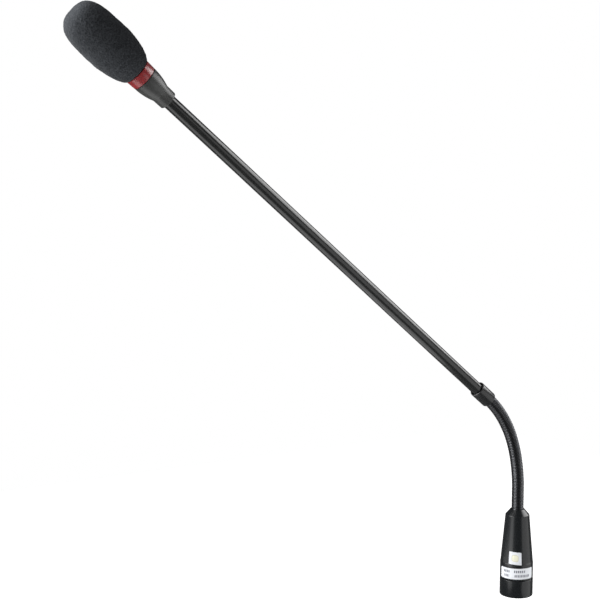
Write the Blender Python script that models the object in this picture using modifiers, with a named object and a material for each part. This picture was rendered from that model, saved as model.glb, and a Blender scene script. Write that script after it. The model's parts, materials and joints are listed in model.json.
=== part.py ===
"""Gooseneck podium microphone: plug base, flexible conduit, rigid stem, light ring and foam windscreen.

Frame: +Z up along the plug's axis, origin at the lock ring's bottom face, and the stem leans
towards -X. Every size is in metres, written as millimetres times MM.
"""

import math

import bmesh
import bpy
from mathutils import Vector

MM = 0.001

# Driving dimensions, in millimetres
GAP = 0.3  # clearance kept between touching pieces
RING_RADIUS = 11.6  # lock ring, outside
RING_HEIGHT = 12.2
RING_BORE = 10.2
RING_LIP_BORE = 9.25
BARREL_RADIUS = 11.5
BARREL_FOOT = RING_HEIGHT + GAP
TAPER_FOOT = 24.2
TAPER_FOOT_RADIUS = 11.35
SHOULDER = 57.5
SHOULDER_RADIUS = 8.35
BASE_TOP = 61.5
BARREL_WALL = 1.5
SHELL_RADIUS = 8.9  # plug shell
SHELL_BORE = 7.8
SHELL_TOP = 24.0
SHELL_FOOT = 1.0
CLIP_LEVEL = 8.6  # groove of the retaining clip
INSERT_FACE = 6.0
INSERT_TOP = 13.0
INSERT_RADIUS = SHELL_BORE - GAP
PIN_CIRCLE = 4.7
PIN_RADIUS = 0.8
PIN_COUNT = 5

CONDUIT_RADIUS = 4.25
CONDUIT_BORE = 2.9
STRAIGHT_LENGTH = 8.4  # conduit above the base, before it starts to bend
CURVED_LENGTH = 79.5
BEND_ANGLE = math.radians(50.65)  # how far the stem leans from the vertical
BEND_POWER = 1.4  # lean grows as (distance along the curve) ** BEND_POWER
BEND_HINGES = 6  # in-plane hinges; as many sideways hinges alternate with them
LINK_GAP = 0.15  # from a link's end to its hinge, on the axis
END_SLOPE = math.radians(8.2)  # bevel on each link's ends

COLLAR_RADIUS = 5.5
COLLAR_LENGTH = 13.9
TUBE_RADIUS = 4.2
TUBE_BORE = 3.4
TUBE_START = 7.0  # along the stem, measured from the collar's foot
TUBE_END = 323.4
HEAD_FOOT = 310.2  # head shell's lower end
HEAD_MOUTH = 329.5
HEAD_RADIUS = 8.05
LIGHT_FOOT = HEAD_MOUTH + GAP
LIGHT_TOP = 335.7
LIGHT_RADIUS = 8.35
SLEEVE_RADIUS = 6.4
SLEEVE_BORE = 5.7
SLEEVE_TOP = 362.0
FOAM_FOOT = 336.2
FOAM_TIP = 385.0
FOAM_RADIUS = 14.15
FOAM_WIDEST = 357.0
FOAM_CAVITY = 6.8
FOAM_CAVITY_END = 368.5

LABEL_FACING = math.radians(229.7)  # direction, about +Z, that the wrap label faces
STICKER_FACING = math.radians(223.6)
SCREW_FACING = math.radians(45.0)

SHARP_ANGLE = math.radians(40)
SIDES = 40  # round the large pieces
SMALL_SIDES = 24
CABLE_BEVEL = 2
CABLE_RADIUS = 1.5


def clear_scene():
    for obj in list(bpy.data.objects):
        bpy.data.objects.remove(obj, do_unlink=True)


def new_collection(name):
    collection = bpy.data.collections.new(name)
    bpy.context.scene.collection.children.link(collection)
    return collection


def material(name, colour, roughness, metallic=0.0, alpha=1.0):
    made = bpy.data.materials.new(name)
    made.use_nodes = True
    shader = made.node_tree.nodes["Principled BSDF"]
    shader.inputs["Base Color"].default_value = (*colour, 1.0)
    shader.inputs["Roughness"].default_value = roughness
    shader.inputs["Metallic"].default_value = metallic
    shader.inputs["Alpha"].default_value = alpha
    made.diffuse_color = (*colour, alpha)
    return made


clear_scene()
PIECES = new_collection("gooseneck_microphone")
CUTTERS = new_collection("cutters")

BLACK_METAL = material("black_metal", (0.022, 0.023, 0.026), 0.32, 0.4)
BLACK_GLOSS = material("black_gloss", (0.016, 0.016, 0.018), 0.2, 0.3)
CONDUIT_BLACK = material("conduit_black", (0.03, 0.03, 0.032), 0.42, 0.5)
HEAD_GREY = material("head_grey", (0.05, 0.049, 0.048), 0.4)
RED_LENS = material("red_lens", (0.45, 0.02, 0.03), 0.18, 0.0, 0.85)
FOAM = material("foam", (0.055, 0.058, 0.064), 0.95)
RUBBER = material("rubber", (0.02, 0.02, 0.02), 0.8)
NICKEL = material("nickel", (0.62, 0.6, 0.56), 0.3, 1.0)
GOLD = material("gold_contact", (0.85, 0.6, 0.25), 0.25, 1.0)
INSULATOR = material("insulator", (0.03, 0.03, 0.03), 0.5)
BOARD_GREEN = material("board_green", (0.02, 0.16, 0.07), 0.45)
CHIP_BLACK = material("chip_black", (0.03, 0.03, 0.03), 0.55)
CABLE_GREY = material("cable_grey", (0.16, 0.16, 0.17), 0.6)
LABEL_WHITE = material("label_white", (0.8, 0.81, 0.83), 0.5)
LED_CLEAR = material("led_clear", (0.85, 0.8, 0.75), 0.25)
FELT = material("felt", (0.08, 0.08, 0.08), 1.0)


def empty_at(name, point, lean=0.0):
    """An empty on a joint's axis, its +Z leaning from the vertical towards -X."""
    holder = bpy.data.objects.new(name, None)
    PIECES.objects.link(holder)
    holder.location = Vector(point) * MM
    holder.rotation_euler = (0.0, -lean, 0.0)
    return holder


def add_object(name, mesh, finish, holder=None, cutter=False):
    obj = bpy.data.objects.new(name, mesh)
    (CUTTERS if cutter else PIECES).objects.link(obj)
    obj.parent = holder
    if cutter:
        obj.hide_render = True
        obj.display_type = "WIRE"
    else:
        mesh.materials.append(finish)
        mesh.shade_smooth()
        mesh.set_sharp_from_angle(angle=SHARP_ANGLE)
    return obj


def add_screw(obj, steps):
    screw = obj.modifiers.new("turn", "SCREW")
    screw.steps = screw.render_steps = steps
    screw.use_merge_vertices = True
    screw.merge_threshold = 0.00001
    screw.use_smooth_shade = True


def turned(name, outline, finish, holder=None, steps=SIDES, cutter=False):
    """A turned piece. The outline holds (radius, height) pairs in mm and runs down the outer side.

    An outline that starts and ends on the axis is a solid, and any other is closed into a ring.
    """
    solid = outline[0][0] == 0 and outline[-1][0] == 0
    count = len(outline)
    edges = [(i, i + 1) for i in range(count - 1)]
    if not solid:
        edges.append((count - 1, 0))
    mesh = bpy.data.meshes.new(name)
    mesh.from_pydata([(r * MM, 0.0, z * MM) for r, z in outline], edges, [])
    obj = add_object(name, mesh, finish, holder, cutter)
    add_screw(obj, steps)
    return obj


def ring_outline(outer, inner, foot, top):
    """The outline of a plain ring or tube."""
    return [(outer, top), (outer, foot), (inner, foot), (inner, top)]


def rod_outline(radius, foot, top):
    """The outline of a plain rod."""
    return [(0, top), (radius, top), (radius, foot), (0, foot)]


def arc(centre, radius, start, end, count):
    """Points on an arc in the outline's plane. Angles are in degrees from +radius towards +height."""
    points = []
    for i in range(count + 1):
        angle = math.radians(start + (end - start) * i / count)
        points.append((centre[0] + radius * math.cos(angle), centre[1] + radius * math.sin(angle)))
    return points


def block(name, size, centre, finish, holder=None, turn=0.0, cutter=False, bevel=0.0):
    """A box with its edges bevelled, turned about its own z axis."""
    mesh = bpy.data.meshes.new(name)
    shape = bmesh.new()
    bmesh.ops.create_cube(shape, size=1.0)
    bmesh.ops.scale(shape, vec=Vector(size) * MM, verts=shape.verts)
    shape.to_mesh(mesh)
    shape.free()
    obj = add_object(name, mesh, finish, holder, cutter)
    obj.location = Vector(centre) * MM
    obj.rotation_euler = (0.0, 0.0, turn)
    if bevel:
        rounding = obj.modifiers.new("edges", "BEVEL")
        rounding.width = bevel * MM
        rounding.segments = 1
    return obj


def hexagon(name, radius, foot, top, finish, holder=None, cutter=False):
    """An upright hexagonal prism."""
    mesh = bpy.data.meshes.new(name)
    shape = bmesh.new()
    size = {"radius1": radius * MM, "radius2": radius * MM, "depth": (top - foot) * MM}
    bmesh.ops.create_cone(shape, cap_ends=True, segments=6, **size)
    shape.to_mesh(mesh)
    shape.free()
    obj = add_object(name, mesh, finish, holder, cutter)
    obj.location = (0.0, 0.0, (foot + top) / 2 * MM)
    return obj


def cut(obj, cutter):
    boolean = obj.modifiers.new("cut " + cutter.name, "BOOLEAN")
    boolean.operation = "DIFFERENCE"
    boolean.object = cutter


def cable(name, points, radius, finish, holder=None):
    curve = bpy.data.curves.new(name, "CURVE")
    curve.dimensions = "3D"
    curve.bevel_depth = radius * MM
    curve.bevel_resolution = CABLE_BEVEL
    curve.use_fill_caps = True
    curve.materials.append(finish)
    spline = curve.splines.new("POLY")
    spline.points.add(len(points) - 1)
    for spot, point in zip(spline.points, points):
        spot.co = (*(Vector(point) * MM), 1.0)
    obj = bpy.data.objects.new(name, curve)
    PIECES.objects.link(obj)
    obj.parent = holder
    return obj


def wrapped_patch(name, facing, half_angle, foot, top, radius_at, lift, thickness, tilt, finish, across=16):
    """A thin patch bent round the base: a flat grid whose x becomes an angle and y a height."""
    mesh = bpy.data.meshes.new(name)
    shape = bmesh.new()
    bmesh.ops.create_grid(shape, x_segments=across, y_segments=2, size=1.0)
    for vert in shape.verts:
        angle = facing + vert.co.x * half_angle
        height = foot + (vert.co.y + 1) / 2 * (top - foot) + tilt * vert.co.x
        radius = radius_at(height) + lift
        vert.co = Vector((radius * math.cos(angle), radius * math.sin(angle), height)) * MM
    shape.to_mesh(mesh)
    shape.free()
    obj = add_object(name, mesh, finish)
    shell = obj.modifiers.new("thickness", "SOLIDIFY")
    shell.thickness = thickness * MM
    shell.offset = 1.0
    return obj


# ---------------------------------------------------------------- base


def taper_radius(height):
    """Outside radius of the barrel's tapered part."""
    share = (height - TAPER_FOOT) / (SHOULDER - TAPER_FOOT)
    return TAPER_FOOT_RADIUS + (SHOULDER_RADIUS - TAPER_FOOT_RADIUS) * share


def make_lock_ring():
    chamfer = 0.4
    lip_foot = CLIP_LEVEL + 1.1
    outline = [
        (RING_RADIUS - chamfer, RING_HEIGHT),
        (RING_RADIUS, RING_HEIGHT - chamfer),
        (RING_RADIUS, chamfer),
        (RING_RADIUS - chamfer, 0),
        (RING_BORE + 0.3, 0),
        (RING_BORE, 0.3),
        (RING_BORE, lip_foot),
        (RING_LIP_BORE, lip_foot),
        (RING_LIP_BORE, RING_HEIGHT),
    ]
    return turned("lock_ring", outline, BLACK_METAL)


def make_plug():
    """The plug inside the lock ring: shell, clip, insulating insert, contacts and seal."""
    flange_foot, flange_top, flange_radius = BARREL_FOOT + 0.1, BARREL_FOOT + 1.9, 9.7
    groove_depth, clip_height = 0.6, 0.8
    shell = turned(
        "plug_shell",
        [
            (SHELL_RADIUS, SHELL_TOP),
            (SHELL_RADIUS, flange_top),
            (flange_radius, flange_top),
            (flange_radius, flange_foot),
            (SHELL_RADIUS, flange_foot),
            (SHELL_RADIUS, CLIP_LEVEL + clip_height),
            (SHELL_RADIUS - groove_depth, CLIP_LEVEL + clip_height),
            (SHELL_RADIUS - groove_depth, CLIP_LEVEL),
            (SHELL_RADIUS, CLIP_LEVEL),
            (SHELL_RADIUS, SHELL_FOOT + 0.3),
            (SHELL_RADIUS - 0.3, SHELL_FOOT),
            (SHELL_BORE, SHELL_FOOT),
            (SHELL_BORE, SHELL_TOP),
        ],
        NICKEL,
        None,
        32,
    )
    keyway = block("plug_keyway", (2.2, 2.2, 6.0), (0, SHELL_BORE + 0.4, SHELL_FOOT + 1.5), None, cutter=True)
    cut(shell, keyway)
    play = 0.15
    clip_bore = SHELL_RADIUS - groove_depth + play
    clip_foot, clip_top = CLIP_LEVEL + play, CLIP_LEVEL + clip_height - play
    clip = turned("retaining_clip", ring_outline(9.9, clip_bore, clip_foot, clip_top), NICKEL, None, 32)
    cut(clip, block("clip_gap", (8.0, 5.0, 3.0), (10.0, 0, CLIP_LEVEL + 0.4), None, cutter=True))
    insert_outline = rod_outline(INSERT_RADIUS, INSERT_FACE, INSERT_TOP)
    insert = turned("contact_insert", insert_outline, INSULATOR, None, 32)
    for number in range(PIN_COUNT):
        angle = math.radians(90 + 36 + 72 * number)
        place = (PIN_CIRCLE * math.cos(angle) * MM, PIN_CIRCLE * math.sin(angle) * MM, 0)
        hole = turned(
            f"pin_hole_{number + 1}",
            rod_outline(PIN_RADIUS + 0.2, INSERT_FACE - 1, INSERT_TOP + 1),
            None,
            None,
            16,
            True,
        )
        hole.location = place
        cut(insert, hole)
        pin_foot, pin_top = 2.0, 16.0
        blunt_end = [(PIN_RADIUS, pin_foot + 0.5), (0.4, pin_foot), (0, pin_foot)]
        pin_outline = [(0, pin_top), (PIN_RADIUS, pin_top), *blunt_end]
        pin = turned(f"contact_pin_{number + 1}", pin_outline, GOLD, None, 12)
        pin.location = place
    seal_centre, seal_radius = (SHELL_RADIUS + 0.55, flange_top + 0.8), 0.38
    turned("seal_ring", arc(seal_centre, seal_radius, 360, 45, 7), RUBBER, None, 32)


def make_barrel():
    """The tapered casing, open below for the plug and above for the conduit."""
    mouth = CONDUIT_RADIUS + 0.35
    inner_top = BASE_TOP - 2.2
    edge = 0.25
    outline = [
        (mouth + edge, BASE_TOP),
        (SHOULDER_RADIUS - 0.35, SHOULDER + 0.55),
        (SHOULDER_RADIUS, SHOULDER),
        (TAPER_FOOT_RADIUS, TAPER_FOOT),
        (BARREL_RADIUS, TAPER_FOOT - edge),
        (BARREL_RADIUS, BARREL_FOOT + edge),
        (BARREL_RADIUS - edge, BARREL_FOOT),
        (BARREL_RADIUS - BARREL_WALL, BARREL_FOOT),
        (BARREL_RADIUS - BARREL_WALL, TAPER_FOOT),
        (SHOULDER_RADIUS - BARREL_WALL, SHOULDER - 0.8),
        (mouth, inner_top),
        (mouth, BASE_TOP - 0.2),
    ]
    barrel = turned("base_barrel", outline, BLACK_METAL)
    level, screw_radius = 18.4, 1.5
    holder = empty_at("set_screw_axis", (0, 0, level))
    holder.rotation_euler = (0.0, math.radians(90), SCREW_FACING)
    hole = turned("set_screw_hole", rod_outline(screw_radius + 0.2, 8.0, 14.0), None, holder, 20, True)
    cut(barrel, hole)
    screw_foot, screw_top = SHELL_RADIUS + 0.2, BARREL_RADIUS - 0.3
    screw_outline = rod_outline(screw_radius, screw_foot, screw_top)
    screw = turned("barrel_set_screw", screw_outline, BLACK_METAL, holder, 20)
    socket_radius, socket_depth = 0.87, 1.0
    socket_foot = screw_top - socket_depth
    cut(screw, hexagon("set_screw_socket", socket_radius, socket_foot, screw_top + 1, None, holder, True))


def make_base_inside():
    """The electronics and the fastening of the conduit, inside the barrel."""
    block("circuit_board", (10.5, 1.0, 28.0), (0, 0, 32.0), BOARD_GREEN)
    block("preamp_chip", (5.0, 1.4, 4.0), (0, -1.4, 30.0), CHIP_BLACK, bevel=0.2)
    block("board_socket", (5.6, 3.0, 4.0), (0, 2.3, 42.0), LABEL_WHITE, bevel=0.3)
    for number, side in enumerate((-1, 1)):
        capacitor = turned(f"filter_capacitor_{number + 1}", rod_outline(1.9, -2.6, 2.6), NICKEL, None, 20)
        capacitor.location = (side * 2.6 * MM, -2.7 * MM, 38.5 * MM)
    route = [(2.3, 44.3), (2.3, 46.4), (1.4, 48.0), (0.6, 49.6), (0.1, 51.5), (0, 54.0), (0, 60.0)]
    cable("base_cable", [(0, y, z) for y, z in route], CABLE_RADIUS, CABLE_GREY)
    ferrule_foot, ferrule_top, bore = 51.4, 56.2, CONDUIT_RADIUS + GAP
    turned("conduit_ferrule", ring_outline(5.9, bore, ferrule_foot, ferrule_top), NICKEL, None, 32)
    nut_foot, nut_top = 48.6, ferrule_foot - GAP
    nut = hexagon("ferrule_nut", 6.6, nut_foot, nut_top, NICKEL)
    through = rod_outline(bore, nut_foot - 1, nut_top + 1)
    cut(nut, turned("ferrule_nut_bore", through, None, None, SMALL_SIDES, True))


def make_labels():
    wrap_thickness = 0.15
    wrapped_patch(
        "rating_label",
        LABEL_FACING,
        math.radians(62.5),
        13.9,
        21.4,
        lambda height: BARREL_RADIUS,
        0.12,
        wrap_thickness,
        0.2,
        LABEL_WHITE,
        24,
    )
    half_side = 4.35
    sticker_foot = TAPER_FOOT + 0.1
    wrapped_patch(
        "square_label",
        STICKER_FACING,
        half_side / taper_radius(sticker_foot + half_side),
        sticker_foot,
        sticker_foot + 2 * half_side,
        taper_radius,
        0.15,
        wrap_thickness,
        0.1,
        LABEL_WHITE,
        10,
    )


# ----------------------------------------------------------- gooseneck


def hinge_distances():
    """Where the hinges lie along the conduit, from the base's top: (distance, bends in the plane)."""
    shares = [((i + 0.5) / BEND_HINGES) ** (1 / BEND_POWER) for i in range(BEND_HINGES)]
    bends = [STRAIGHT_LENGTH + CURVED_LENGTH * share for share in shares]
    found = []
    before = STRAIGHT_LENGTH
    for bend in bends:
        found.append(((before + bend) / 2, False))
        found.append((bend, True))
        before = bend
    return found


def conduit_ends(length, low_slope, high_slope):
    """The outline of a link: a tube whose ends slope away from its hinges."""
    low_rise = math.tan(END_SLOPE) if low_slope else 0.0
    high_rise = math.tan(END_SLOPE) if high_slope else 0.0
    outline = []
    for radius in (CONDUIT_BORE, CONDUIT_RADIUS):
        outline.append((radius, length - LINK_GAP - high_rise * radius))
    for radius in (CONDUIT_RADIUS, CONDUIT_BORE):
        outline.append((radius, LINK_GAP + low_rise * radius))
    return outline


def make_conduit():
    """The flexible conduit as a chain of short links. Returns the stem's foot and its lean."""
    stub_foot = 49.0
    hinges = hinge_distances()
    stub = conduit_ends(BASE_TOP + hinges[0][0] - stub_foot, False, True)
    turned("conduit_stub", stub, CONDUIT_BLACK, empty_at("stub_foot", (0, 0, stub_foot)), SMALL_SIDES)
    point = Vector((0, 0, BASE_TOP + hinges[0][0]))
    lean = 0.0
    for number, (distance, bends) in enumerate(hinges):
        if bends:
            lean += BEND_ANGLE / BEND_HINGES
        holder = empty_at(f"hinge_{number + 1}", point, lean)
        last = number == len(hinges) - 1
        reach = STRAIGHT_LENGTH + CURVED_LENGTH - distance
        length = reach + TUBE_START - GAP if last else hinges[number + 1][0] - distance
        name = "conduit_top" if last else f"conduit_link_{number + 1:02d}"
        turned(name, conduit_ends(length, True, not last), CONDUIT_BLACK, holder, SMALL_SIDES)
        along = Vector((-math.sin(lean), 0, math.cos(lean)))
        point = point + along * (reach if last else length)
    return point, lean


# ---------------------------------------------------------------- stem


def make_stem(holder):
    """Collar, inner spigot, rigid tube and the cable in it."""
    bore = CONDUIT_RADIUS + GAP
    edge = 0.9
    outline = arc((COLLAR_RADIUS - edge, COLLAR_LENGTH - edge), edge, 90, 0, 3)
    outline += arc((COLLAR_RADIUS - edge, edge), edge, 0, -90, 3)
    outline += [(bore, 0), (bore, COLLAR_LENGTH)]
    turned("collar", outline, BLACK_METAL, holder, 32)
    spigot_bore = 2.0
    step = TUBE_START - 0.1
    turned(
        "collar_spigot",
        [
            (TUBE_BORE - GAP, step + 9.0),
            (TUBE_BORE - GAP, step),
            (CONDUIT_BORE - GAP, step),
            (CONDUIT_BORE - GAP, 0.8),
            (spigot_bore, 0.8),
            (spigot_bore, step + 9.0),
        ],
        NICKEL,
        holder,
        SMALL_SIDES,
    )
    turned("stem_tube", ring_outline(TUBE_RADIUS, TUBE_BORE, TUBE_START, TUBE_END), BLACK_GLOSS, holder, 32)
    cable_heights = (1.0, TUBE_END / 2, TUBE_END + 2.0)
    cable("stem_cable", [(0, 0, z) for z in cable_heights], CABLE_RADIUS, CABLE_GREY, holder)


def make_head(holder):
    """Head shell, light ring and the capsule's carrier."""
    bore = TUBE_RADIUS + GAP
    shoulder, rim = 317.2, 1.1
    outline = [(HEAD_RADIUS - rim, HEAD_MOUTH)]
    # The bowl's side is a parabola from the mouth down to the neck.
    neck_radius, bowl_steps = 5.93, 6
    for i in range(bowl_steps + 1):
        share = i / bowl_steps
        radius = neck_radius + (HEAD_RADIUS - neck_radius) * (1 - share**2)
        outline.append((radius, HEAD_MOUTH - (HEAD_MOUTH - shoulder) * share))
    outline += [(5.75, HEAD_FOOT + 0.9)]
    outline += arc((4.95, HEAD_FOOT + 0.8), 0.8, -20, -90, 2)
    outline += [(bore, HEAD_FOOT), (bore, shoulder + 1.2), (5.6, shoulder + 2.0), (HEAD_RADIUS - rim, 325.0)]
    turned("head_shell", outline, HEAD_GREY, holder, 32)
    turned("tube_nut", ring_outline(5.35, bore, shoulder + 2.4, shoulder + 4.4), NICKEL, holder, 32)

    light = [
        (LIGHT_RADIUS - 0.3, LIGHT_TOP),
        (LIGHT_RADIUS, LIGHT_TOP - 0.3),
        (HEAD_RADIUS + 0.05, LIGHT_FOOT),
        (SLEEVE_RADIUS + 0.4, LIGHT_FOOT),
        (SLEEVE_RADIUS + 0.4, LIGHT_TOP),
    ]
    turned("light_ring", light, RED_LENS, holder, 32)
    board_level = 326.2
    turned("light_board", ring_outline(6.5, 2.4, board_level, board_level + 0.8), BOARD_GREEN, holder, 32)
    for number in range(4):
        angle = math.radians(45 + 90 * number)
        centre = (5.2 * math.cos(angle), 5.2 * math.sin(angle), board_level + 1.7)
        block(f"light_emitter_{number + 1}", (1.8, 1.2, 0.9), centre, LED_CLEAR, holder, angle + math.pi / 2)

    flange_radius = 7.5
    sleeve = turned(
        "capsule_sleeve",
        [
            (SLEEVE_RADIUS, SLEEVE_TOP),
            (SLEEVE_RADIUS, LIGHT_TOP + 1.1),
            (flange_radius, LIGHT_TOP + 1.1),
            (flange_radius, LIGHT_TOP + GAP),
            (SLEEVE_RADIUS, LIGHT_TOP + GAP),
            (SLEEVE_RADIUS, LIGHT_FOOT),
            (SLEEVE_BORE, LIGHT_FOOT),
            (SLEEVE_BORE, SLEEVE_TOP),
        ],
        BLACK_METAL,
        holder,
        32,
    )
    for number in range(3):
        slot = block(
            f"sound_slot_{number + 1}",
            (20.0, 1.6, 8.0),
            (0, 0, 345.5),
            None,
            holder,
            math.radians(30 + 60 * number),
            True,
        )
        cut(sleeve, slot)


def make_capsule(holder):
    capsule_foot, capsule_top, capsule_radius = 352.0, 359.0, 4.6
    turned(
        "capsule",
        [
            (0, capsule_top),
            (capsule_radius - 0.4, capsule_top),
            (capsule_radius, capsule_top - 0.4),
            (capsule_radius, capsule_foot),
            (0, capsule_foot),
        ],
        NICKEL,
        holder,
        SMALL_SIDES,
    )
    seat_outer = SLEEVE_BORE - 0.2
    seat_outline = ring_outline(seat_outer, capsule_radius + 0.2, 353.5, 357.5)
    turned("capsule_seat", seat_outline, RUBBER, holder, SMALL_SIDES)
    turned("capsule_retainer", ring_outline(seat_outer, 3.2, 350.2, 351.6), NICKEL, holder, SMALL_SIDES)
    turned("felt_disc", rod_outline(seat_outer, 360.2, 361.2), FELT, holder, SMALL_SIDES)
    grille_foot, grille_rise = SLEEVE_TOP + GAP, 2.4
    rim_top = grille_foot + 1.0
    angles = (0, 0.45, 0.9, 1.25)
    dome = [(SLEEVE_RADIUS * math.sin(a), rim_top + grille_rise * math.cos(a)) for a in angles]
    inner = [(r * 0.88, z - 0.7) for r, z in dome]
    outline = dome + [(SLEEVE_RADIUS, rim_top), (SLEEVE_RADIUS, grille_foot)]
    outline += [(SLEEVE_BORE, grille_foot)] + inner[::-1]
    turned("grille_cap", outline, BLACK_METAL, holder, SMALL_SIDES)
    lead = [(1.2, 0, 327.8), (1.2, 0, 335.0), (0.8, 0.4, 342.0), (0.2, 0.2, 347.0), (0, 0, 351.6)]
    cable("capsule_lead", lead, 0.6, CABLE_GREY, holder)


def foam_radius(height):
    """Outside radius of the windscreen: a long rear shoulder and a flattened front dome."""
    if height < FOAM_WIDEST:
        share = (FOAM_WIDEST - height) / (FOAM_WIDEST - FOAM_FOOT)
        rear = 8.9
        return rear + (FOAM_RADIUS - rear) * (1 - share**1.9) ** (1 / 1.35)
    share = (height - FOAM_WIDEST) / (FOAM_TIP - FOAM_WIDEST)
    return FOAM_RADIUS * (1 - share**3.4) ** (1 / 3.4)


def make_windscreen(holder):
    front_steps, rear_steps = 9, 6
    heights = []
    for i in range(front_steps):
        heights.append(FOAM_WIDEST + (FOAM_TIP - FOAM_WIDEST) * math.cos(i / front_steps * math.pi / 2))
    for i in range(rear_steps + 1):
        heights.append(FOAM_WIDEST - (FOAM_WIDEST - FOAM_FOOT) * math.sin(i / rear_steps * math.pi / 2))
    outline = [(foam_radius(height), height) for height in heights]
    counterbore, shelf = 7.85, LIGHT_TOP + 1.5
    outline += [
        (counterbore, FOAM_FOOT),
        (counterbore, shelf),
        (FOAM_CAVITY, shelf),
        (FOAM_CAVITY, FOAM_CAVITY_END - 2.0),
        (FOAM_CAVITY - 2.0, FOAM_CAVITY_END),
        (0, FOAM_CAVITY_END),
    ]
    turned("windscreen", outline, FOAM, holder, 32)


make_lock_ring()
make_plug()
make_barrel()
make_base_inside()
make_labels()
stem_foot, stem_lean = make_conduit()
stem = empty_at("stem", stem_foot, stem_lean)
make_stem(stem)
make_head(stem)
make_capsule(stem)
make_windscreen(stem)
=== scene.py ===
"""Gooseneck podium microphone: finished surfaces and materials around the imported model.

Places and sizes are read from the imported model. Turned shapes are worked out on a line, the plug's
axis or the stem's axis, as (radius, height) pairs in millimetres, and laid in the frame in metres.
"""

import json
import math

import bmesh
import bpy
import numpy as np
from mathutils import Matrix, Vector


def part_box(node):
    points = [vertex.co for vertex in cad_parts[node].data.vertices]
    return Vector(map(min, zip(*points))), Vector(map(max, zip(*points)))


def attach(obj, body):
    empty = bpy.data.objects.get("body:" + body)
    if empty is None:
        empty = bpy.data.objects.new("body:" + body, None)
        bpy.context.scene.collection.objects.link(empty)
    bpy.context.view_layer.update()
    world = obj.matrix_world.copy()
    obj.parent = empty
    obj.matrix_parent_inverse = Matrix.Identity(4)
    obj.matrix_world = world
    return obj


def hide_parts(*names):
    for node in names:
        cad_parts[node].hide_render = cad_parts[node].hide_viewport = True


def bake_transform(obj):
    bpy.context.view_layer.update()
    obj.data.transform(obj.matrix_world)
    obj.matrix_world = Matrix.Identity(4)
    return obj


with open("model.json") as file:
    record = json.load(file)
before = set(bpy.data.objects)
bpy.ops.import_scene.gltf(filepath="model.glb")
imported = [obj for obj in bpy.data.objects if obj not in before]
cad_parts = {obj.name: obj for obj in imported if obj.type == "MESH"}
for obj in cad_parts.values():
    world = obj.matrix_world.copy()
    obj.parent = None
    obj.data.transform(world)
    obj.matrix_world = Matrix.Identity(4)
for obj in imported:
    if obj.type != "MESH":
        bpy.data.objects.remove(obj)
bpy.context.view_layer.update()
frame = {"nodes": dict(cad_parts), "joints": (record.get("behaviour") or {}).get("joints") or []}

MM = 0.001
NODES = frame["nodes"]
JOINTS = {joint["name"]: joint for joint in frame["joints"]}
BENDS = 6  # hinges that bend the conduit in the stem's plane, and as many that bend it sideways

# ------------------------------------------------------------------ lines and measures


def unit(vector):
    return np.asarray(vector, float) / np.linalg.norm(vector)


class Line:
    """A turning axis: its foot in metres, the direction along it and two directions across it."""

    def __init__(self, foot, along, across):
        self.foot = np.asarray(foot, float)
        self.along = unit(along)
        self.across = unit(np.asarray(across, float) - self.along * np.dot(across, self.along))
        self.beside = np.cross(self.along, self.across)

    def place(self, radius, turn, height):
        """foot + height along the line + radius (cos turn across + sin turn beside), from mm to metres."""
        radius, turn, height = np.broadcast_arrays(radius, turn, height)
        out = np.cos(turn)[..., None] * self.across + np.sin(turn)[..., None] * self.beside
        return self.foot + MM * (radius[..., None] * out + height[..., None] * self.along)

    def raised(self, height):
        """The same line with its foot moved up by height mm."""
        return Line(self.foot + MM * height * self.along, self.along, self.across)

    def span(self, node):
        """Lowest and highest height and smallest and largest radius of a node's points, in mm."""
        points = np.array([vertex.co for vertex in NODES[node].data.vertices]) - self.foot
        height = points @ self.along
        radius = np.linalg.norm(points - np.outer(height, self.along), axis=1)
        return height.min() / MM, height.max() / MM, radius.min() / MM, radius.max() / MM


PLUG = Line((0, 0, 0), (0, 0, 1), (1, 0, 0))
stem_line = Line(JOINTS["conduit_bend_6"]["pos_m"], JOINTS["windscreen_pull"]["axis"], (0, 1, 0))
STEM = stem_line.raised(stem_line.span("collar")[0])


# ------------------------------------------------------------------ outlines and meshes

ARC_STEPS = 5
MERGE_DISTANCE = 0.001 * MM
SHARP_ANGLE = 35.0  # degrees between two faces, past which their edge is shaded sharp


def outline(*corners):
    """Rows of (radius, height, edge) through (radius, height, fillet) corners.

    A fillet replaces its corner by an arc that touches both sides. edge is 1 at the arc's middle and
    0 on the flats, and says where a finish wears first.
    """
    points = np.array([corner[:2] for corner in corners], float)
    rows = []
    for number, corner in enumerate(corners):
        fillet = corner[2] if len(corner) > 2 else 0.0
        if not fillet:
            rows.append((*points[number], 0.0))
            continue
        before = unit(points[number - 1] - points[number])
        after = unit(points[(number + 1) % len(points)] - points[number])
        half = math.acos(float(np.clip(before @ after, -1, 1))) / 2
        centre = points[number] + unit(before + after) * fillet / math.sin(half)
        start = points[number] + before * fillet / math.tan(half) - centre
        end = points[number] + after * fillet / math.tan(half) - centre
        share = np.linspace(0, 1, ARC_STEPS + 1)[:, None]
        sweep = math.pi - 2 * half
        arc = (np.sin((1 - share) * sweep) * start + np.sin(share * sweep) * end) / math.sin(sweep)
        worn = np.sin(share * math.pi)
        rows.extend(np.hstack([centre + arc, worn]).tolist())
    return np.array(rows)


def smooth_run(radius, height):
    """Rows of an outline from arrays of radius and height, with no worn edge."""
    return np.stack([radius, height, np.zeros_like(radius)], axis=1)


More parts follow.
